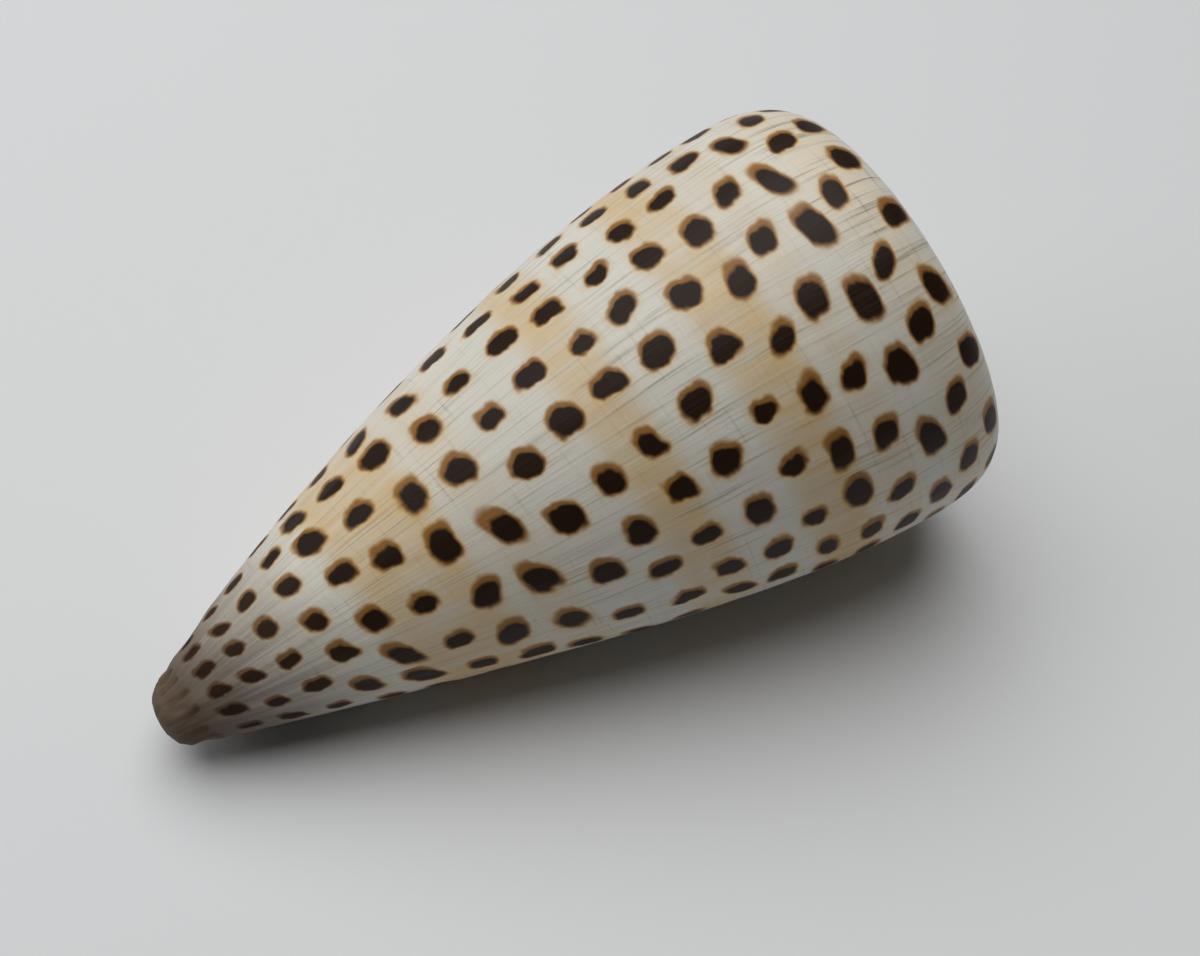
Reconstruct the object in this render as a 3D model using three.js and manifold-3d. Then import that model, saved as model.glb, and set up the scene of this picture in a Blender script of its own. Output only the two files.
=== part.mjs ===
// A cone shell lying on its side with its mouth turned down, as an empty shell comes to rest.
// Millimetres, +Z up. The origin is on the table, under the middle of the shell. The narrow end
// points along -X and the spire along +X.
//
// The shell grows as the snail does it: one outline, the edge of the lip, turns about the axis of
// coiling and gets bigger by the same factor on every turn. Along the outline, "radius" is the
// distance from that axis and "depth" is the distance from the apex towards the narrow end.
import * as THREE from "three";
import { LoftGeometry } from "three/addons/geometries/LoftGeometry.js";
import { mergeVertices } from "three/addons/utils/BufferGeometryUtils.js";
import Module from "manifold-3d";

// Growth
const LENGTH = 101.5; // apex to narrow end, along the axis
const GROWTH_PER_TURN = 1.33; // how much wider each whorl is than the one before it
const END_HOLD = 3.5; // how sharply the narrow end stays where it is while the whorls wind round it
const SPIRE_TURNS = 5; // older whorls that still show on the spire
const SPIRE_FOOT = 2; // how far the hidden foot of an older whorl stays inside its widest place
const TURN = 2 * Math.PI;
const FACETS = 36; // in one turn of the last whorl
const STEP = TURN / FACETS;
const SPIRE_FACETS = 20; // in one turn of an older whorl
const SPIRE_STEP = TURN / SPIRE_FACETS;

// Outline of the lip
const BORE = 1; // radius that the turning outline leaves open; the pillar fills it
const SUTURE = new THREE.Vector2(17, 4.7); // where the whorl meets the one before it
const RAMP_MIDDLE = new THREE.Vector2(21.4, 5.8); // the sunken middle of the spiral ramp
const RIM = new THREE.Vector2(24.8, 4.3); // inner edge of the shoulder
const SHOULDER = new THREE.Vector2(30, 14); // the widest place
const RIM_ROUNDING = new THREE.Vector2(2.6, -0.4); // how the curve leaves the rim
const SHOULDER_ROUNDING = 6.2; // length of the curve above the widest place
const SIDE_FULLNESS = 29.5; // how far the side stays as wide as the shoulder before it narrows
const SIDE_SLOPE = 0.7; // radius lost per millimetre near the narrow end
const SIDE_REACH = 14; // length of the straight stretch near the narrow end
const END = new THREE.Vector2(5.4, 98.6); // where the narrow end starts to round over
const END_ROUNDING = new THREE.Vector2(-0.9, 2); // how the curve leaves the side there
const END_FLATNESS = 0.6; // share of the end's radius that is nearly flat

// First whorl
const NUCLEUS_EDGE = 1; // how far its edge dips under the next whorl
const NUCLEUS_ROOT = 10; // depth that its hidden root reaches

// Mouth
const LIP_EDGE = 1.1; // thickness of the shell at the edge of the lip
const WALL = 2.6; // thickness of the shell further in
const LIP_TAPER = TURN / 8; // turn over which the lip thickens
const GLAZE = 0.5; // coat that the snail lays on the whorl before
const MOUTH_TOP = 8; // depth of the mouth's end under the shoulder
const MOUTH_SLANT = 2; // how much deeper that end is at the lip than at the inner side
const MOUTH_LEAST = 0.8; // width of the mouth at the least
const MOUTH_LOW = 92; // depth where the hollow closes, further in
const MOUTH_OUT = 104; // past the narrow end, so the mouth is open there
const NOTCH_TURN = TURN / 6; // turn over which the mouth stays open at the narrow end
const HOLLOW_FACETS = 28; // how far in the hollow goes
const PAST_LIP_FACETS = 5; // how far it shows as a hollow beside the pillar past the lip
const PILLAR_RADIUS = 2.4; // the pillar that the shell winds round, near the narrow end
const PILLAR_START = 7; // depth inside the spire where it starts, hidden
const PILLAR_TOP = 55; // depth where the pillar starts to come out of the older whorls
const PILLAR_LOW = 90; // depth from which the pillar keeps its radius
const PILLAR_END = 99;
const PILLAR_BEVEL = new THREE.Vector2(0.6, 2); // share of its radius left at the end; length
const SWELL_TURN = TURN / 7; // turn over which the pillar swells again past the lip
const MOUTH_POINTS = 14; // along each side of the mouth

// How the shell lies
const ROLL = THREE.MathUtils.degToRad(-43.5); // brings the mouth down
const DIP = THREE.MathUtils.degToRad(-12.2); // drops the narrow end to the table

function clamp(value, low, high) {
  return Math.min(Math.max(value, low), high);
}

function growth(turned) {
  return GROWTH_PER_TURN ** (turned / TURN);
}

// The narrow end keeps its depth at every size, and the rest of the outline moves with the growth.
function grownDepth(depth, size) {
  const held = clamp(depth / LENGTH, 0, 1) ** END_HOLD;
  return depth * size ** (1 - held);
}

// A point of the outline, after the shell has turned and grown: the lip of the grown shell is at
// turned = 0 and the older shell is at smaller values.
function grown(radius, depth, turned) {
  const size = growth(turned);
  const angle = -turned;
  return new THREE.Vector3(
    -grownDepth(depth, size),
    radius * size * Math.cos(angle),
    radius * size * Math.sin(angle),
  );
}

function outlinePath() {
  const sideTop = SHOULDER.y + SIDE_FULLNESS;
  const path = new THREE.Path();
  path.moveTo(BORE, SUTURE.y);
  path.lineTo(SUTURE.x, SUTURE.y);
  path.quadraticCurveTo(RAMP_MIDDLE.x, RAMP_MIDDLE.y, RIM.x, RIM.y);
  path.bezierCurveTo(
    RIM.x + RIM_ROUNDING.x,
    RIM.y + RIM_ROUNDING.y,
    SHOULDER.x,
    SHOULDER.y - SHOULDER_ROUNDING,
    SHOULDER.x,
    SHOULDER.y,
  );
  path.bezierCurveTo(
    SHOULDER.x,
    sideTop,
    END.x + SIDE_SLOPE * SIDE_REACH,
    END.y - SIDE_REACH,
    END.x,
    END.y,
  );
  path.bezierCurveTo(
    END.x + END_ROUNDING.x,
    END.y + END_ROUNDING.y,
    END.x * END_FLATNESS,
    LENGTH,
    BORE,
    LENGTH,
  );
  return path;
}

const OUTLINE_POINTS = 7; // on each curve of the outline
const outline = outlinePath().getPoints(OUTLINE_POINTS);

// The same outline one turn ago: the wall that the mouth opens onto.
const olderOutline = outline.map((point) => {
  const size = growth(-TURN);
  return new THREE.Vector2(point.x * size, grownDepth(point.y, size));
});

// Radius of an outline's side at a depth.
function sideRadius(points, depth) {
  const widest = points.reduce((best, point) => (point.x > best.x ? point : best));
  const below = points.slice(points.indexOf(widest));
  const after = below.findIndex((point) => point.y > depth);
  if (after === 0) return widest.x;
  if (after < 0) return 0;
  const low = below[after - 1];
  const high = below[after];
  return THREE.MathUtils.lerp(low.x, high.x, (depth - low.y) / (high.y - low.y));
}

// The inner side of the mouth: the older whorl, and towards the narrow end the pillar. Past the
// lip the pillar swells back to the older whorl.
function innerRadius(depth, turned) {
  const whorl = sideRadius(olderOutline, depth) + GLAZE;
  const bared = THREE.MathUtils.smoothstep(depth, PILLAR_TOP, PILLAR_LOW);
  const swollen = THREE.MathUtils.smoothstep(turned, 0, SWELL_TURN);
  return Math.max(THREE.MathUtils.lerp(whorl, PILLAR_RADIUS, bared * (1 - swollen)), PILLAR_RADIUS);
}

function solidOf(wasm, geometry) {
  const bare = new THREE.BufferGeometry();
  bare.setAttribute("position", geometry.getAttribute("position"));
  bare.setIndex(geometry.index);
  const merged = mergeVertices(bare, 1e-4);
  const mesh = new wasm.Mesh({
    numProp: 3,
    vertProperties: merged.attributes.position.array,
    triVerts: new Uint32Array(merged.index.array),
  });
  return new wasm.Manifold(mesh);
}

// Turns a closed outline about the axis, from one facet of the spiral to another. outlineAt gives
// the outline at a growth angle.
function swept(wasm, outlineAt, first, last, step) {
  const sections = [];
  for (let i = first; i <= last; i += 1) {
    const turned = i * step;
    const points = outlineAt(turned).map((point) => grown(point.x, point.y, turned));
    sections.push(points.reverse());
  }
  return solidOf(wasm, new LoftGeometry(sections, { capStart: true, capEnd: true }));
}

// The top of an older whorl, as far down as it shows on the spire.
function spireOutline() {
  const top = outlinePath().getPoints(3).filter((point) => point.y < SHOULDER.y);
  const foot = [
    new THREE.Vector2(SHOULDER.x - SPIRE_FOOT, SHOULDER.y),
    new THREE.Vector2(BORE, SHOULDER.y),
  ];
  return [...top, ...foot];
}

// The hollow that the snail lived in, as an outline at one growth angle.
function hollowOutline(turned) {
  const thickness = THREE.MathUtils.lerp(LIP_EDGE, WALL, clamp(-turned / LIP_TAPER, 0, 1));
  const open = 1 - clamp(-turned / NOTCH_TURN, 0, 1) ** 2;
  const low = THREE.MathUtils.lerp(MOUTH_LOW, MOUTH_OUT, open);
  const outer = [];
  const inner = [];
  for (let i = 0; i <= MOUTH_POINTS; i += 1) {
    const depth = THREE.MathUtils.lerp(MOUTH_TOP, low, i / MOUTH_POINTS);
    const pillar = innerRadius(depth, turned);
    const wall = sideRadius(outline, Math.min(depth, END.y)) - thickness;
    const slant = i === 0 ? MOUTH_SLANT : 0;
    outer.push(new THREE.Vector2(Math.max(wall, pillar + MOUTH_LEAST), depth + slant));
    inner.push(new THREE.Vector2(pillar, depth));
  }
  return [...outer, ...inner.reverse()];
}

function pillarGeometry() {
  const profile = [
    new THREE.Vector2(0, PILLAR_START),
    new THREE.Vector2(BORE * 2, PILLAR_START),
    new THREE.Vector2(BORE * 2, PILLAR_TOP),
    new THREE.Vector2(PILLAR_RADIUS, PILLAR_LOW),
    new THREE.Vector2(PILLAR_RADIUS, PILLAR_END - PILLAR_BEVEL.y),
    new THREE.Vector2(PILLAR_RADIUS * PILLAR_BEVEL.x, PILLAR_END),
    new THREE.Vector2(0, PILLAR_END),
  ];
  return alongAxis(new THREE.LatheGeometry(profile, 20));
}

// The worn tip of the spire, a low dome on a hidden root.
function nucleusGeometry() {
  const size = growth(-TURN * SPIRE_TURNS);
  const radius = RIM.x * size;
  const height = RIM.y * size;
  const profile = [
    new THREE.Vector2(0, 0),
    new THREE.Vector2(radius / 2, height / 3),
    new THREE.Vector2(radius, height + NUCLEUS_EDGE),
    new THREE.Vector2(radius - NUCLEUS_EDGE, NUCLEUS_ROOT),
    new THREE.Vector2(0, NUCLEUS_ROOT + NUCLEUS_EDGE),
  ];
  return alongAxis(new THREE.LatheGeometry(profile, 16));
}

// A lathe turns its outline about +Y; the shell's depth runs along -X.
function alongAxis(geometry) {
  return geometry.rotateZ(Math.PI / 2);
}

const wasm = await Module();
wasm.setup();

// The last turn, in two halves that share one facet, so that each half stays clear of itself.
const half = FACETS / 2;
const newer = swept(wasm, () => outline, -half - 1, 0, STEP);
const older = swept(wasm, () => outline, -FACETS - 1, -half, STEP);
let shell = newer.add(older);

// The older whorls, which only show on the spire.
const top = spireOutline();
for (let turn = 1; turn <= SPIRE_TURNS; turn += 1) {
  const end = -turn * SPIRE_FACETS;
  const middle = end - SPIRE_FACETS / 2;
  shell = shell.add(swept(wasm, () => top, middle - 1, end + 1, SPIRE_STEP));
  shell = shell.add(swept(wasm, () => top, end - SPIRE_FACETS - 1, middle, SPIRE_STEP));
}
shell = shell.add(solidOf(wasm, pillarGeometry()));
shell = shell.add(solidOf(wasm, nucleusGeometry()));
shell = shell.subtract(swept(wasm, hollowOutline, -HOLLOW_FACETS, PAST_LIP_FACETS, STEP));
// Where faces met, joining leaves slivers of space; the shell is the one large body.
[shell] = shell.decompose().sort((a, b) => b.volume() - a.volume());

const cut = shell.getMesh();
const geometry = new THREE.BufferGeometry();
geometry.setAttribute("position", new THREE.BufferAttribute(cut.vertProperties, 3));
geometry.setIndex(new THREE.BufferAttribute(cut.triVerts, 1));
geometry.rotateX(ROLL);
geometry.rotateY(DIP);
geometry.computeBoundingBox();
const box = geometry.boundingBox;
geometry.translate(-(box.min.x + box.max.x) / 2, -(box.min.y + box.max.y) / 2, -box.min.z);
geometry.computeVertexNormals();

const material = new THREE.MeshStandardMaterial({ color: "#e4ded2", roughness: 0.25, metalness: 0 });
const mesh = new THREE.Mesh(geometry, material);
mesh.name = "shell";

const group = new THREE.Group();
group.add(mesh);

export default group;
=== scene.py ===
# %% [markdown]
# # A cone shell
# The shell of a sea snail, about 100 mm long: a heavy white cone with rows of dark brown spots,
# lying on its side with its mouth down. The imported model is loaded first, and its one solid is
# later stood for by the finished shell.

import math

import bmesh
import bpy
from mathutils import Matrix, Vector, geometry, noise


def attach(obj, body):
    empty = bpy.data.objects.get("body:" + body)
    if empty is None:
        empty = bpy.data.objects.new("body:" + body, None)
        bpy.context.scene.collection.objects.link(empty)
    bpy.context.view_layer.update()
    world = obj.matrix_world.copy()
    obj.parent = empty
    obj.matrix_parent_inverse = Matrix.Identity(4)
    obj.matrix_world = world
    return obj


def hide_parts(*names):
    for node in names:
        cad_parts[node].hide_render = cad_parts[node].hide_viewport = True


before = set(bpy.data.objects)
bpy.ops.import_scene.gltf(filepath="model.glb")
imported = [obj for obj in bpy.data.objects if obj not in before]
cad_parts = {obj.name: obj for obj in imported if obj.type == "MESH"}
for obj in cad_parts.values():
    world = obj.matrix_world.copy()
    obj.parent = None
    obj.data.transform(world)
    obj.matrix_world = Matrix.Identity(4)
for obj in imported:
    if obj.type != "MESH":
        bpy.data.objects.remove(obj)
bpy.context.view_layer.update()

# %% [markdown]
# ## How the shell grows
# A snail adds shell along the edge of its lip. The lip keeps its outline, turns about the axis of
# coiling and gets bigger by the same factor on every turn. So the whole shell follows from one
# outline and one rule, and that is also the easiest way to model it. "turned" is counted in
# turns: 0 at the lip, and below 0 for older shell. The narrow end keeps its depth at every size,
# because the newer whorls wrap round it.

# %% The rule of growth
MM = 0.001
LENGTH = 101.5  # apex to narrow end, in millimetres, as all lengths up to the placing
GROWTH_PER_TURN = 1.33
END_HOLD = 3.5


def share(value, low, high):
    """How far value is from low to high, from 0 to 1."""
    return min(max((value - low) / (high - low), 0.0), 1.0)


def eased(value, low, high):
    """The same, slow at both ends."""
    part = share(value, low, high)
    return part * part * (3 - 2 * part)


def blend(a, b, part):
    return a + (b - a) * part


def grown_depth(depth, size):
    held = share(depth, 0, LENGTH) ** END_HOLD
    return depth * size ** (1 - held)


print("one turn ago the shoulder was", round(100 / GROWTH_PER_TURN), "% of its width now")

# %% [markdown]
# ## The outline of the lip
# The outline is drawn as radius from the axis and depth below the apex. It starts at the suture,
# where the whorl meets the one before it, crosses the sunken ramp of the spire, rounds over the
# shoulder and runs down the side to the narrow end. A cubic curve between a few places that a
# maker would measure with calipers keeps it as fair as a drawn line.

# %% Draw the outline
SUTURE = Vector((17.0, 4.7))
RAMP_MIDDLE = Vector((21.4, 5.8))
RIM = Vector((24.8, 4.3))
SHOULDER = Vector((30.0, 14.0))
END = Vector((5.4, 98.6))
SIDE_FULLNESS = 29.5
SIDE_REACH = 14
SIDE_SLOPE = 0.70
RIM_ROUNDING = Vector((2.6, -0.4))
SHOULDER_ROUNDING = Vector((0, 6.2))
END_ROUNDING = Vector((-0.9, 2.0))
END_FLATNESS = 0.6
UNDER_OLDER = Vector((-1.6, 1.2))  # the edge that is tucked under the whorl before
TO_MIDDLE = 2 / 3  # how far the handles of the ramp reach towards its middle
RAMP_PLACES = 9
ROUNDING_PLACES = 13
SIDE_PLACES = 72
TIP_PLACES = 11


def curve(start, first, second, end, points):
    """Places along a cubic curve, without the last one."""
    handles = [Vector((p.x, p.y, 0)) for p in (start, first, second, end)]
    return [Vector(p[:2]) for p in geometry.interpolate_bezier(*handles, points + 1)[:-1]]


ramp = curve(
    SUTURE,
    SUTURE.lerp(RAMP_MIDDLE, TO_MIDDLE),
    RIM.lerp(RAMP_MIDDLE, TO_MIDDLE),
    RIM,
    RAMP_PLACES,
)
rounding = curve(
    RIM, RIM + RIM_ROUNDING, SHOULDER - SHOULDER_ROUNDING, SHOULDER, ROUNDING_PLACES
)
side = curve(
    SHOULDER,
    SHOULDER + Vector((0, SIDE_FULLNESS)),
    END + Vector((SIDE_SLOPE * SIDE_REACH, -SIDE_REACH)),
    END,
    SIDE_PLACES,
)
bottom = Vector((0, LENGTH))
tip = curve(END, END + END_ROUNDING, Vector((END.x * END_FLATNESS, LENGTH)), bottom, TIP_PLACES)
outline = [SUTURE + UNDER_OLDER] + ramp + rounding + side + tip + [bottom]
first_side = 1 + len(ramp) + len(rounding)
first_tip = first_side + len(side)
print("outline:", len(outline), "places")

# %% [markdown]
# Each place of the outline also gets the direction that is "out" of the shell there, so that the
# inner face of the wall can be set back from the outer one by the thickness of the shell.

# %% The wall: its thickness, its lip and its mouth
LIP_EDGE = 1.1
WALL = 2.6
LIP_TAPER = 1 / 8
LIP_ROUND = 0.006  # the part of a turn over which the edge of the lip rounds over
LIP_CLOSING = 0.46  # the part of the thickness that each face has closed up by at the edge
NOTCH = 1 / 6  # the mouth is open at the narrow end over this part of a turn
NOTCH_BOW = 1.4
NOTCH_BEVEL = 2.0
PILLAR = 2.4  # radius of the pillar that the shell winds round
PILLAR_TOP = 55.0
PILLAR_LOW = 90.0
PILLAR_END = 99.0
HOLLOW_END = 92.0  # where the hollow closes, further in
SWELL = 1 / 7  # past the lip the pillar swells back to the whorl before
INNER_LEAST = 0.3  # the inner face keeps this far from the axis


def outward(place):
    before = outline[max(place - 1, 0)]
    after = outline[min(place + 1, len(outline) - 1)]
    along = (after - before).normalized()
    return Vector((along.y, -along.x))


def thickness(turned):
    return blend(LIP_EDGE, WALL, share(-turned, 0, LIP_TAPER))


def lip_rounding(turned):
    """How far the outer and inner face close up on each other at the edge of the lip."""
    near = 1 - share(-turned, 0, LIP_ROUND)
    return LIP_CLOSING * (1 - math.sqrt(1 - near * near))


def outer_place(place, turned):
    """Radius and depth of the outer face, at the size of that age."""
    size = GROWTH_PER_TURN**turned
    point = outline[place].copy()
    past_end = share(place, first_tip, len(outline) - 1)
    opened = 1 - share(-turned, 0, NOTCH) ** 2
    bow = NOTCH_BOW * math.sin(math.pi * past_end)
    edge = END + Vector((-past_end * thickness(turned), bow))
    if past_end > 0:
        point = point.lerp(edge, opened)
    point -= outward(place) * lip_rounding(turned) * thickness(turned)
    radius, depth = point.x * size, grown_depth(point.y, size)
    bared = eased(depth, PILLAR_TOP, PILLAR_LOW) * (1 - eased(turned + 1, 0, SWELL))
    if turned < -0.5 and bared > 0:
        radius = blend(radius, PILLAR * (1 - past_end), bared)
        depth = blend(depth, min(depth, PILLAR_END), bared)
    return radius, depth


def inner_place(place, turned):
    """Radius and depth of the inner face of the wall."""
    size = GROWTH_PER_TURN**turned
    radius, depth = outer_place(place, turned)
    back = thickness(turned) * (1 - 2 * lip_rounding(turned)) * min(size, 1)
    out = outward(min(place, first_tip))
    past_end = share(place, first_tip, len(outline) - 1)
    if past_end > 0:
        opened = 1 - share(-turned, 0, NOTCH) ** 2
        closed = Vector((blend(END.x - back, PILLAR, past_end), HOLLOW_END))
        edge = Vector((END.x - back, END.y - NOTCH_BEVEL * (1 - past_end)))
        point = closed.lerp(edge, opened)
        return min(point.x, max(radius, PILLAR)), point.y
    return max(radius - back * out.x, INNER_LEAST), depth - back * out.y


print("wall:", LIP_EDGE, "mm at the lip,", WALL, "mm further in")

# %% [markdown]
# ## Winding the wall
# The section of the wall is a closed loop: the outer face one way, the inner face back. The spin
# operator turns it round the axis and joins the copies with faces. Every vertex keeps the number
# of its place on the section in a layer, and the number of the step comes from the order in which
# spin makes the copies, so afterwards each one can be moved to where growth puts it.

# %% A tube of shell, from one age to another
def section(bm, marks, outer_places, inner_places):
    """The loop of one section, as the edges of its outer and of its inner face."""
    verts = []
    for number in list(outer_places) + [-place for place in inner_places]:
        vert = bm.verts.new((0, abs(number) * MM, 0))
        vert[marks] = number
        verts.append(vert)
    loop = [bm.edges.new(pair) for pair in zip(verts, verts[1:])]
    loop.append(bm.edges.new((verts[-1], verts[0])))
    count = len(outer_places)
    return loop[: count - 1], loop[count:-1], [loop[count - 1], loop[-1]]


def wind(outer_places, inner_places, age_of, steps, close_lip):
    """A wound tube. age_of gives "turned" for a step."""
    bm = bmesh.new()
    marks = bm.verts.layers.int.new("mark")
    turns = bm.verts.layers.float.new("turned")
    outer, inner, ends = section(bm, marks, outer_places, inner_places)
    if close_lip:
        bmesh.ops.bridge_loops(bm, edges=outer + inner)
    bmesh.ops.spin(
        bm,
        geom=outer + inner + ends,
        cent=(0, 0, 0),
        axis=(1, 0, 0),
        dvec=(0, 0, 0),
        angle=math.radians(steps),
        steps=steps,
        use_merge=False,
    )
    bm.verts.ensure_lookup_table()
    ring = len(outer_places) + len(inner_places)
    for index, vert in enumerate(bm.verts):
        vert[turns] = age_of(index // ring)
    return bm


LAST_STEP = 2 / 360
LAST_STEPS = 324
SHORT_STEPS = 3  # about this many steps at the lip are shorter
INNER_EVERY = 3  # the inner face takes one place in so many of the outer face's


def last_age(step):
    return -LAST_STEP * step * step / (step + SHORT_STEPS)


inner_places = list(range(len(outline) - 1, 1, -INNER_EVERY)) + [1]
last = wind(range(len(outline)), inner_places, last_age, LAST_STEPS, True)
oldest = round(last_age(LAST_STEPS), 2)
print("last whorls:", len(last.verts), "vertices, back to", oldest, "turns")

# %% [markdown]
# The older whorls show only on the spire, so their section stops below the shoulder. They start
# where the last whorls end and wind up to the first whorl of the young snail.

# %% The spire
SPIRE_START = last_age(LAST_STEPS)
SPIRE_STEP = 5.4 / 360
SPIRE_STEPS = 600
SPIRE_SIDE = 6  # places of the side that the section of an older whorl takes in
SPIRE_INNER_EVERY = 4
spire_places = range(first_side + SPIRE_SIDE)
spire_inner = list(range(first_side + SPIRE_SIDE - 1, 1, -SPIRE_INNER_EVERY)) + [1]


def spire_age(step):
    return SPIRE_START - SPIRE_STEP * step


spire = wind(spire_places, spire_inner, spire_age, SPIRE_STEPS, False)
print("spire:", len(spire.verts), "vertices, back to", round(spire_age(SPIRE_STEPS), 1), "turns")

# %% [markdown]
# ## Growing it
# Now each vertex goes to its place: its radius and depth from the outline at its age, and its
# angle from how far the lip had turned. A little unevenness goes in here too. Growth is never
# quite steady, so the wall swells and pinches by some hundredths of a millimetre in long ripples
# that follow old lips, and the narrow end is worn and pitted from being dragged over the sand.

# %% Move every vertex to where growth puts it
RIPPLE = 0.10
RIPPLES = 60  # to a turn, and the finer ones below
FINE_RIPPLES = 150
LIP_BEND = 0.012  # turns that an old lip wanders from a straight line
BEND_DEPTH = 17
WORN_FROM = 87.0
WORN = 0.5
PIT = 3  # size of the worn pits, and of the small ones below
SMALL_PIT = 1.1


def grown_place(mark, turned):
    place = abs(mark)
    radius, depth = outer_place(place, turned) if mark >= 0 else inner_place(place, turned)
    angle = -turned * math.tau
    flat = Vector((-depth, radius * math.cos(angle), radius * math.sin(angle)))
    if mark >= 0 and radius > 1:
        lip = turned + LIP_BEND * math.sin(depth / BEND_DEPTH)
        ripple = noise.noise(Vector((RIPPLES * lip, depth / 60, 3)))
        ripple += 0.5 * noise.noise(Vector((FINE_RIPPLES * lip, depth / 30, 7)))
        pits = noise.noise(flat / PIT) + 0.6 * noise.noise(flat / SMALL_PIT)
        lift = RIPPLE * ripple + WORN * eased(depth, WORN_FROM, LENGTH) * pits
        flat.y += lift * math.cos(angle)
        flat.z += lift * math.sin(angle)
    return flat


def grow(bm):
    marks = bm.verts.layers.int["mark"]
    turns = bm.verts.layers.float["turned"]
    for vert in bm.verts:
        vert.co = grown_place(vert[marks], vert[turns]) * MM


grow(last)
grow(spire)
print("grown:", len(last.verts) + len(spire.verts), "vertices")

# %% [markdown]
# The two tubes and the small dome of the first whorl become one mesh. Doubles are merged where
# the spire starts, and the ends that lie hidden inside the shell are filled.

# %% Join the whorls and the first whorl
SAME_PLACE = 0.004 * MM
DOME_WIDTH = 1.15  # of the first whorl, by the width of the oldest whorl
DOME_FLATNESS = 0.45
DOME_PLACE = 3  # the place on the outline that the dome's colours are taken from
joined = bpy.data.meshes.new("whorls")
spire.to_mesh(joined)
last.from_mesh(joined)
bpy.data.meshes.remove(joined)
spire.free()
bmesh.ops.remove_doubles(last, verts=last.verts, dist=SAME_PLACE)
open_edges = [edge for edge in last.edges if edge.is_boundary]
bmesh.ops.holes_fill(last, edges=open_edges, sides=0)
bmesh.ops.recalc_face_normals(last, faces=last.faces)

size = GROWTH_PER_TURN ** spire_age(SPIRE_STEPS)
dome_radius = DOME_WIDTH * RIM.x * size * MM
dome = bmesh.ops.create_uvsphere(last, u_segments=24, v_segments=12, radius=dome_radius)["verts"]
bmesh.ops.scale(last, vec=(DOME_FLATNESS, 1, 1), verts=dome)
bmesh.ops.translate(last, vec=(-RIM.y * size * MM, 0, 0), verts=dome)
marks = last.verts.layers.int["mark"]
turns = last.verts.layers.float["turned"]
for vert in dome:
    vert[marks] = DOME_PLACE
    vert[turns] = spire_age(SPIRE_STEPS)
still_open = [edge for edge in last.edges if edge.is_boundary]
print("shell:", len(last.faces), "faces,", len(still_open), "open edges")

# %% [markdown]
# ## Rows of spots
# The mantle of the snail paints the lip as it grows. Each painting gland makes a row of spots that
# runs round the shell, so a spot belongs to a row by its place on the outline, and to a beat of
# that row by its age. Age and row are stored on the mesh, together with the height of a row and
# the radius there, so that the material can draw a spot of a true size in each cell.

# %% Where the rows lie on the outline
FIRST_ROW = 7.5
WIDEST_ROW = 6.35
RAMP_ROW = 5.0
ROW_WAVE = 10.6  # the height of a row follows a half wave: its degrees at the apex,
ROW_WAVE_PER_MM = 1.673  # and the degrees that each millimetre of depth adds,
ROW_WAVE_END = 92  # down to this depth
ROWS_ON_RAMP = 3  # added to a row's number, so that none is below 0


def row_pitch(depth):
    """Rows are widest apart on the middle of the side and crowd towards both ends."""
    if depth < FIRST_ROW:
        return RAMP_ROW
    wave = math.radians(ROW_WAVE + ROW_WAVE_PER_MM * min(depth, ROW_WAVE_END))
    return WIDEST_ROW * math.sqrt(math.sin(wave))


depths = []  # depth on the side; on the ramp, the rim's depth less the way in from the rim
for place, point in enumerate(outline):
    depths.append(point.y if place > len(ramp) else RIM.y - (RIM - point).length)

rows = [0.0] * len(outline)
nearest = min(range(len(ramp), first_tip), key=lambda place: abs(depths[place] - FIRST_ROW))
rows[nearest] = 0.5
for place in range(nearest + 1, len(outline)):
    gap = depths[place] - depths[place - 1]
    rows[place] = rows[place - 1] + gap / row_pitch(depths[place])
for place in range(nearest - 1, -1, -1):
    gap = depths[place + 1] - depths[place]
    rows[place] = rows[place + 1] - gap / row_pitch(depths[place])
print("rows on the side:", int(rows[-1]))

# %% Store place, age and row on the mesh
place_layer = last.verts.layers.float_vector.new("place")
row_layer = last.verts.layers.float_vector.new("row")
for vert in last.verts:
    place = abs(vert[marks])
    age = vert[turns]
    size = GROWTH_PER_TURN**age
    radius = outer_place(place, age)[0]
    vert[place_layer] = (age, depths[place] / LENGTH, 1.0 if vert[marks] < 0 else 0.0)
    vert[row_layer] = (rows[place] + ROWS_ON_RAMP, row_pitch(depths[place]) * size, radius)
print("a row is", round(row_pitch(50), 1), "mm on the middle of the side")

# %% [markdown]
# ## Laying the shell down
# An empty cone shell comes to rest on the edge of its lip, on its side and on its narrow end, with
# the mouth turned down. The mesh is rolled, dipped and moved to the middle of the table, in the
# vertices, so that the object itself stays unturned at the origin.

# %% Place the shell
ROLL = math.radians(-43.5)
DIP = math.radians(-12.2)
bmesh.ops.rotate(last, cent=(0, 0, 0), matrix=Matrix.Rotation(ROLL, 3, "X"), verts=last.verts)
bmesh.ops.rotate(last, cent=(0, 0, 0), matrix=Matrix.Rotation(DIP, 3, "Y"), verts=last.verts)
low = Vector([min(vert.co[axis] for vert in last.verts) for axis in range(3)])
high = Vector([max(vert.co[axis] for vert in last.verts) for axis in range(3)])
to_table = Vector((-(low.x + high.x) / 2, -(low.y + high.y) / 2, -low.z))
bmesh.ops.translate(last, vec=to_table, verts=last.verts)

shell_mesh = bpy.data.meshes.new("cone_shell")
last.to_mesh(shell_mesh)
last.free()
shell_mesh.shade_smooth()
shell = bpy.data.objects.new("cone_shell", shell_mesh)
bpy.context.scene.collection.objects.link(shell)
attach(shell, "root")
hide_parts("shell")
print("shell:", [round(1000 * side, 1) for side in high - low], "mm")

# %% [markdown]
# ## Writing a finish
# A finish is a net of shader nodes. Two small classes let it be written as sums. A Wire is a value
# that runs through the net, and a plus or a minus between wires adds a Math node. Every other node
# comes from Finish.add.

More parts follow.
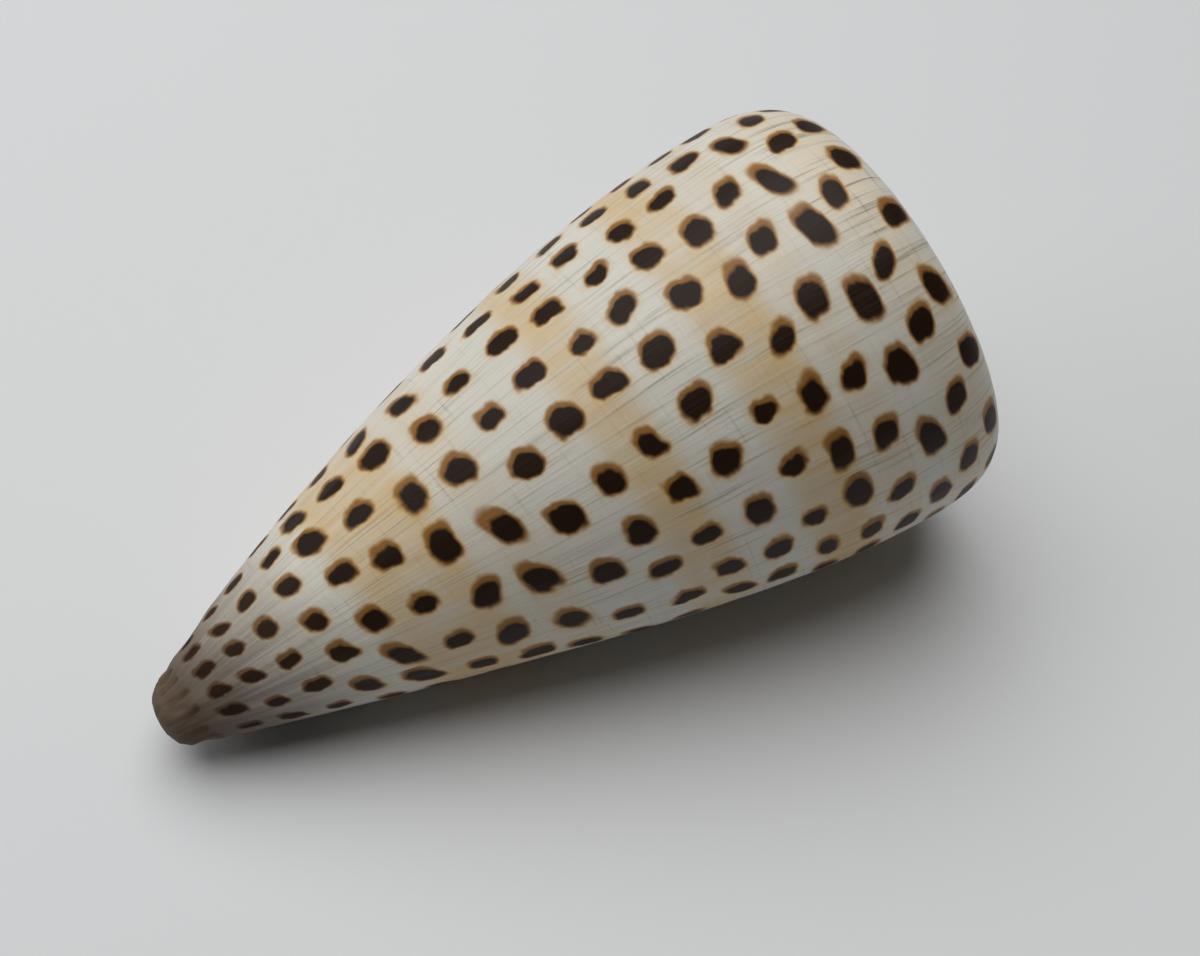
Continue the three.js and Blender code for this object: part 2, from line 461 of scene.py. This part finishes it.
# %% Wires and finishes
class Wire:
    def __init__(self, finish, socket):
        self.finish = finish
        self.socket = socket

    def maths(self, operation, *values):
        return self.finish.add("Math", {"operation": operation}, dict(enumerate(values)))

    def __add__(self, other):
        return self.maths("ADD", self, other)

    def __radd__(self, other):
        return self.maths("ADD", other, self)

    def __sub__(self, other):
        return self.maths("SUBTRACT", self, other)

    def __rsub__(self, other):
        return self.maths("SUBTRACT", other, self)

    def __mul__(self, other):
        return self.maths("MULTIPLY", self, other)

    def __rmul__(self, other):
        return self.maths("MULTIPLY", other, self)

    def __truediv__(self, other):
        return self.maths("DIVIDE", self, other)

    def __rtruediv__(self, other):
        return self.maths("DIVIDE", other, self)

    def __pow__(self, other):
        return self.maths("POWER", self, other)

    def __neg__(self):
        return self.maths("MULTIPLY", self, -1.0)

    def __abs__(self):
        return self.maths("ABSOLUTE", self)

    def __floor__(self):
        return self.maths("FLOOR", self)


class Finish:
    def __init__(self, name):
        self.material = bpy.data.materials.new(name)
        self.material.use_nodes = True
        self.tree = self.material.node_tree
        self.tree.nodes.clear()

    def add(self, kind, settings=None, sockets=None, output=0):
        """A node: its settings first, then the values or wires of its sockets."""
        node = self.tree.nodes.new("ShaderNode" + kind)
        for name, value in (settings or {}).items():
            setattr(node, name, value)
        for name, value in (sockets or {}).items():
            if isinstance(value, Wire):
                self.tree.links.new(value.socket, node.inputs[name])
            else:
                node.inputs[name].default_value = value
        return Wire(self, node.outputs[output]) if node.outputs else None

    def parts(self, vector):
        """The three numbers of a vector."""
        first = self.add("SeparateXYZ", None, {0: vector})
        outputs = first.socket.node.outputs
        return [Wire(self, socket) for socket in outputs]

    def layer(self, name):
        return self.parts(self.add("Attribute", {"attribute_name": name}, None, 1))

    def ease(self, value, low, high):
        """0 below low, 1 above high, and smooth between."""
        settings = {"interpolation_type": "SMOOTHSTEP"}
        return self.add("MapRange", settings, {"Value": value, "From Min": low, "From Max": high})

    def mix(self, part, a, b):
        """A colour between a and b."""
        return self.add("Mix", {"data_type": "RGBA"}, {0: part, 6: a, 7: b}, 2)

    def vector(self, x, y, z):
        return self.add("CombineXYZ", None, {0: x, 1: y, 2: z})

    def noise(self, vector, scale, detail=2.0):
        """Soft noise about 0."""
        sockets = {"Vector": vector, "Scale": scale, "Detail": detail}
        return self.add("TexNoise", None, sockets) - 0.5


def colour(red, green, blue):
    """A colour as it is picked on a screen, made linear for the shader."""
    values = [value / 255 for value in (red, green, blue)]
    linear = [v / 12.92 if v <= 0.04045 else ((v + 0.055) / 1.055) ** 2.4 for v in values]
    return (*linear, 1.0)


print("helpers ready")

# %% [markdown]
# ## The ground colour
# The shell is white, a little grey, and glossy. Bands of pale tan run round it, made up of short
# streaks, because each streak was laid down by one lip. Fine grooves follow every old lip, some of
# them holding dirt. Towards the narrow end the colour turns brown and the surface is worn.

# %% Ground, bands, growth lines and wear
IVORY = colour(227, 223, 211)
GREY_IVORY = colour(213, 210, 198)
TAN = colour(216, 188, 142)
DIRT = colour(146, 137, 116)
STAIN = colour(96, 80, 66)
BANDS = [  # from and to, as parts of the length, and how strong the tan is
    (0.06, 0.135, 0.35),
    (0.19, 0.235, 0.35),
    (0.256, 0.335, 0.95),
    (0.434, 0.50, 0.9),
    (0.61, 0.66, 0.3),
    (0.68, 0.79, 0.95),
]
BAND_SOFTNESS = 0.02
skin = Finish("spotted_shell")
turned, depth, inside = skin.layer("place")
row, row_mm, radius_mm = skin.layer("row")
here = skin.add("TexCoord", None, None, 3)
side_noise = skin.noise(here, 60.0, 3.0)

bent = turned + 0.012 * skin.noise(skin.vector(turned * 2, depth * 4, 0.0), 1.0)
streak = skin.noise(skin.vector(bent * 110, depth * 5, 0.0), 1.0, 4.0)
fine_lines = skin.noise(skin.vector(bent * 360, depth * 6, 4.0), 1.0, 3.0)
cloud = skin.noise(skin.vector(turned * 7, depth * 9, 8.0), 1.0, 2.0)
threads = skin.noise(skin.vector(turned * 14, depth * 160, 2.0), 1.0, 3.0)


def band(low, high):
    edge = depth + 0.02 * streak
    begun = skin.ease(edge, low - BAND_SOFTNESS, low + BAND_SOFTNESS)
    return begun * (1 - skin.ease(edge, high - BAND_SOFTNESS, high + BAND_SOFTNESS))


tan = sum(strength * band(low, high) for low, high, strength in BANDS)
tan = tan * skin.ease(0.75 + 1.0 * streak + 1.3 * cloud, 0.0, 1.0)
ground = skin.mix(0.5 + 1.2 * cloud, GREY_IVORY, IVORY)
ground = skin.mix(tan, ground, TAN)
grime = 1.2 * skin.ease(fine_lines, 0.0, 0.22) + 0.6 * skin.ease(threads, 0.06, 0.26)
# How dark the grooves are: more in random clouds, and more towards the shoulder end (depth 0.05 to
# 0.3)
groove_darkening = 0.34 + 1.1 * cloud + 0.22 * (1 - skin.ease(depth, 0.05, 0.3))
ground = skin.mix(grime * groove_darkening, ground, DIRT)
stain = skin.ease(depth + 0.08 * cloud + 0.06 * streak, 0.80, 0.96)
ground = skin.mix(stain * 0.9, ground, STAIN)
print("ground:", len(skin.tree.nodes), "nodes")

# %% [markdown]
# ## The spots
# In its cell each spot is a rounded lozenge, a little off the middle, of its own size. Dyes spread
# while the shell was still soft, so a near-black core is ringed by orange brown, and that rim
# runs out further on the newer side. White Noise gives each cell its own numbers, and soft noise
# bends the edges so that no two spots are alike. The very end is so worn that its spots are gone.

# %% The beat of each row
OLD_SLOWER = 0.45  # an older row had fewer beats to a turn
BEAT = 13.3  # degrees from spot to spot, and what is added in some rows
ADDED_AT_SHOULDER = 2.9
ADDED_BELOW_MIDDLE = 5.8
ADDED_AT_END = 2.5
number = math.floor(row)
near_shoulder = 1 - skin.ease(number, 5.5, 7)
below_middle = skin.ease(number, 10, 13)
near_end = skin.ease(number, 15, 18)
degrees = BEAT + ADDED_AT_SHOULDER * near_shoulder + ADDED_BELOW_MIDDLE * below_middle
degrees = degrees + ADDED_AT_END * near_end
phase = skin.add("TexWhiteNoise", {"noise_dimensions": "1D"}, {"W": number + 0.37})
slowing = 1 + OLD_SLOWER * -turned
beats = skin.add("Math", {"operation": "LOGARITHM"}, {0: slowing, 1: math.e})
beats = beats / OLD_SLOWER * 360 / degrees + phase
beat_mm = degrees * radius_mm * slowing * math.radians(1)


# %% One spot in every cell
SQUARENESS = 2.6
SHIFT = 0.24  # the most that chance moves a spot round its row, as a part of the cell,
SHIFT_DOWN = 0.14  # and down
HALO = colour(220, 186, 112)
RIM_BROWN = colour(140, 88, 24)
WORN_RIM = colour(84, 58, 36)
NEAR_BLACK = colour(34, 16, 3)
BARE_END = colour(98, 82, 66)
habit = skin.add("TexWhiteNoise", {"noise_dimensions": "1D"}, {"W": number + 0.71}, 1)
stretch, habit_lean, _ = skin.parts(habit)
lean = habit_lean - 0.5


def spot_distance():
    """Millimetres outside the edge of the nearest spot's core, below 0 inside it."""
    cell = skin.vector(math.floor(beats), number, 0.0)
    chance = skin.add("TexWhiteNoise", {"noise_dimensions": "3D"}, {"Vector": cell}, 1)
    chance_x, chance_y, chance_size = skin.parts(chance)
    across = (beats - math.floor(beats) - 0.5 + SHIFT * (chance_x - 0.5)) * beat_mm
    down = (row - number - 0.5 + SHIFT_DOWN * (chance_y - 0.5)) * row_mm
    warp = skin.noise(skin.vector(beats * 2.2, row * 2.2, 0.0), 1.0, 2.0)
    warp_down = skin.noise(skin.vector(beats * 2.2, row * 2.2, 9.0), 1.0, 2.0)
    across = across + 0.34 * warp * row_mm
    down = down + 0.26 * warp_down * row_mm + across * (0.3 * (chance_size - 0.5) + 0.5 * lean)
    length = beat_mm * (0.13 + 0.09 * chance_size + 0.07 * stretch)
    newer = skin.ease(-across / length, 0.0, 1.6)
    width = row_mm * (0.23 + 0.08 * chance_x + 0.04 * near_shoulder) * (1 - 0.2 * newer)
    powers = abs(across / length) ** SQUARENESS + abs(down / width) ** SQUARENESS
    return (powers ** (1 / SQUARENESS) - 1) * width, newer


distance, newer = spot_distance()
narrowing = skin.add("Math", {"operation": "MINIMUM"}, {0: row_mm / 5, 1: 1.0})
fuzz = (distance + 0.26 * side_noise) / narrowing
core = 1 - skin.ease(fuzz, -0.24, 0.2)
rim = 1 - skin.ease(fuzz - (0.35 + 0.8 * side_noise) * newer, 0.0, 0.5)
halo = 1 - skin.ease(fuzz, 0.1, 1.1)
outside = 1 - inside
smear = halo * (0.4 + 0.35 * newer + 0.8 * cloud)
painted = skin.mix(smear * outside * (1 - stain), ground, HALO)
rim_colour = skin.mix(stain, RIM_BROWN, WORN_RIM)
painted = skin.mix(rim * outside * 0.9, painted, rim_colour)
painted = skin.mix(core * outside * (1 - 0.12 * stain), painted, NEAR_BLACK)
bare = skin.ease(depth, 0.95, 0.975)
painted = skin.mix(bare * 0.85, painted, BARE_END)
print("spots:", len(skin.tree.nodes), "nodes")

# %% [markdown]
# ## Gloss and fine relief
# The shell is like glazed china where it is sound and dull where it is worn. The growth lines and
# small pits are too fine for the mesh, so they are a bump. Inside the mouth the shell is plain
# porcelain white.

# %% The finished shell material
PORCELAIN = colour(232, 226, 218)
PITS_PER_METRE = 900.0
RELIEF = 0.12 * MM
painted = skin.mix(inside * 0.9, painted, PORCELAIN)
pits = skin.add("TexVoronoi", None, {"Vector": here, "Scale": PITS_PER_METRE})
pitted = (1 - skin.ease(pits, 0.05, 0.22)) * skin.ease(cloud, 0.02, 0.2)
relief = 0.6 * streak + 0.8 * fine_lines + 0.3 * threads - 0.5 * pitted
worn_relief = skin.noise(here, PITS_PER_METRE, 4.0) * stain
height = relief + 2 * worn_relief
bump = skin.add("Bump", None, {"Strength": 0.5, "Distance": RELIEF, "Height": height})
roughness = 0.38 + 0.12 * side_noise + 0.35 * stain + 0.12 * pitted + 0.12 * core
surface = skin.add(
    "BsdfPrincipled",
    None,
    {
        "Base Color": painted,
        "Roughness": roughness,
        "Normal": bump,
        "IOR": 1.3,
    },
)
skin.add("OutputMaterial", None, {"Surface": surface})
shell_mesh.materials.append(skin.material)
print("shell finish:", len(skin.tree.nodes), "nodes")

# %% [markdown]
# ## The studio
# A pale table that curves nowhere, one very large soft lamp behind and to the left, and an even
# pale surround. The shadow falls under the shell and a little to the right.

# %% Floor
TABLE_HALF = 2.5
floor_bm = bmesh.new()
bmesh.ops.create_grid(floor_bm, x_segments=2, y_segments=2, size=TABLE_HALF)
floor_mesh = bpy.data.meshes.new("table")
floor_bm.to_mesh(floor_mesh)
floor_bm.free()
floor = bpy.data.objects.new("table", floor_mesh)
bpy.context.scene.collection.objects.link(floor)
table_paint = Finish("table_paint")
grain = table_paint.noise(table_paint.add("TexCoord", None, None, 3), 3.0)
tone = table_paint.mix(0.5 + grain, colour(222, 223, 224), colour(226, 227, 228))
paint = table_paint.add("BsdfPrincipled", None, {"Base Color": tone, "Roughness": 0.7})
table_paint.add("OutputMaterial", None, {"Surface": paint})
floor_mesh.materials.append(table_paint.material)
print("table laid")

# %% Lamps and surround
LAMPS_AIM = Vector((0, 0, 0.02))
SURROUND = 0.04


def lamp(name, place, side, watts):
    light = bpy.data.lights.new(name, "AREA")
    light.shape = "DISK"
    light.size = side
    light.energy = watts
    holder = bpy.data.objects.new(name, light)
    holder.location = place
    holder.rotation_euler = (LAMPS_AIM - Vector(place)).to_track_quat("-Z", "Y").to_euler()
    bpy.context.scene.collection.objects.link(holder)


lamp("window", place=(0.03, 0.3, 0.85), side=1.2, watts=8.6)
lamp("sheen", place=(-0.6, 0.35, 0.4), side=0.5, watts=0.9)
world = bpy.data.worlds.new("surround")
world.use_nodes = True
background = world.node_tree.nodes["Background"]
background.inputs["Color"].default_value = (1.0, 1.0, 1.0, 1.0)
background.inputs["Strength"].default_value = SURROUND
bpy.context.scene.world = world
bpy.context.scene.view_settings.view_transform = "Standard"
print("lamps:", len(bpy.data.lights))

# %% [markdown]
# ## The camera
# The camera looks down at the shell from beside its narrow end, over the side that lies up.

# %% Camera
AZIMUTH = math.radians(-28.8)
ELEVATION = math.radians(53.6)
DISTANCE = 191.6 * MM
TARGET = Vector((4.1, -6.3, 23.1)) * MM
LENS = 51
level = math.cos(ELEVATION)
back = Vector((math.sin(AZIMUTH) * level, -math.cos(AZIMUTH) * level, math.sin(ELEVATION)))
camera = bpy.data.objects.new("camera", bpy.data.cameras.new("camera"))
camera.data.lens = LENS
camera.data.clip_start = 0.01
camera.location = TARGET + back * DISTANCE
camera.rotation_euler = (-back).to_track_quat("-Z", "Y").to_euler()
bpy.context.scene.collection.objects.link(camera)
bpy.context.scene.camera = camera
print("camera at", [round(1000 * value) for value in camera.location], "mm")
